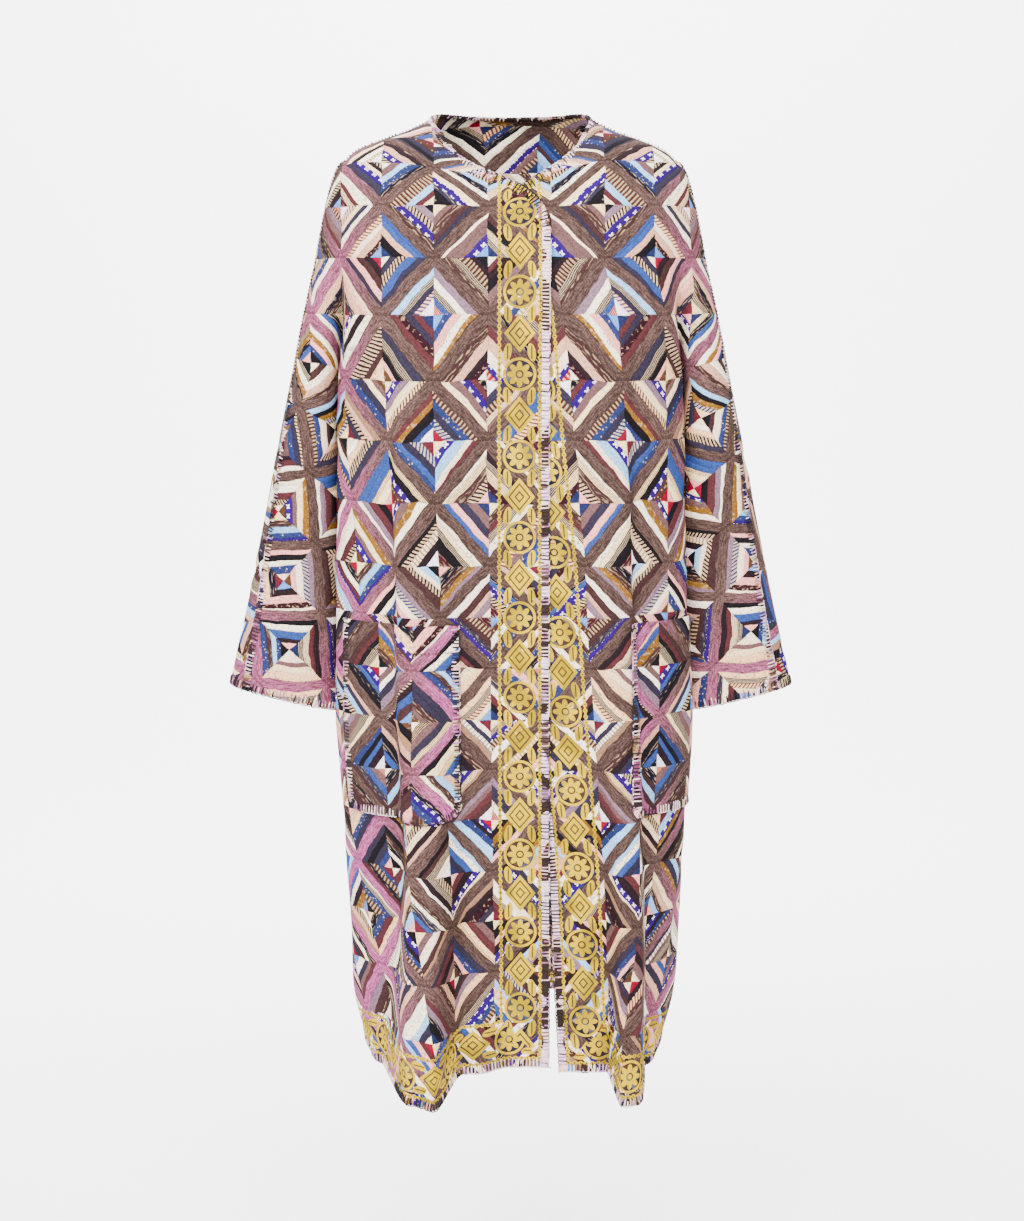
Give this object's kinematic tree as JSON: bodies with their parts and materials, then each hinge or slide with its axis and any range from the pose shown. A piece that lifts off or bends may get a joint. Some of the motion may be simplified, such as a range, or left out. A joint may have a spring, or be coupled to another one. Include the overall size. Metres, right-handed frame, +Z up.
{
  "type": "kimono-style patchwork coat",
  "caption": "Long open-front coat of kimono cut in pieced patchwork cloth, with wide sleeves cut in one with the body and patch pockets, held open as it is worn.",
  "frame": {"origin": "middle between the two neck points of the shoulder line, where the coat is held", "axes": "+Z up, +X to the wearer's left, the open front faces -Y"},
  "size_m": [0.6724, 0.3856, 1.1313],
  "materials": {
    "front_cloth": "matte pieced cotton",
    "back_cloth": "matte pieced cotton",
    "pocket_cloth": "matte pieced cotton"
  },
  "bodies": {
    "root": {"front_right": "front_cloth", "front_left": "front_cloth", "back": "back_cloth", "pocket_right": "pocket_cloth", "pocket_left": "pocket_cloth"}
  },
  "joints": []
}
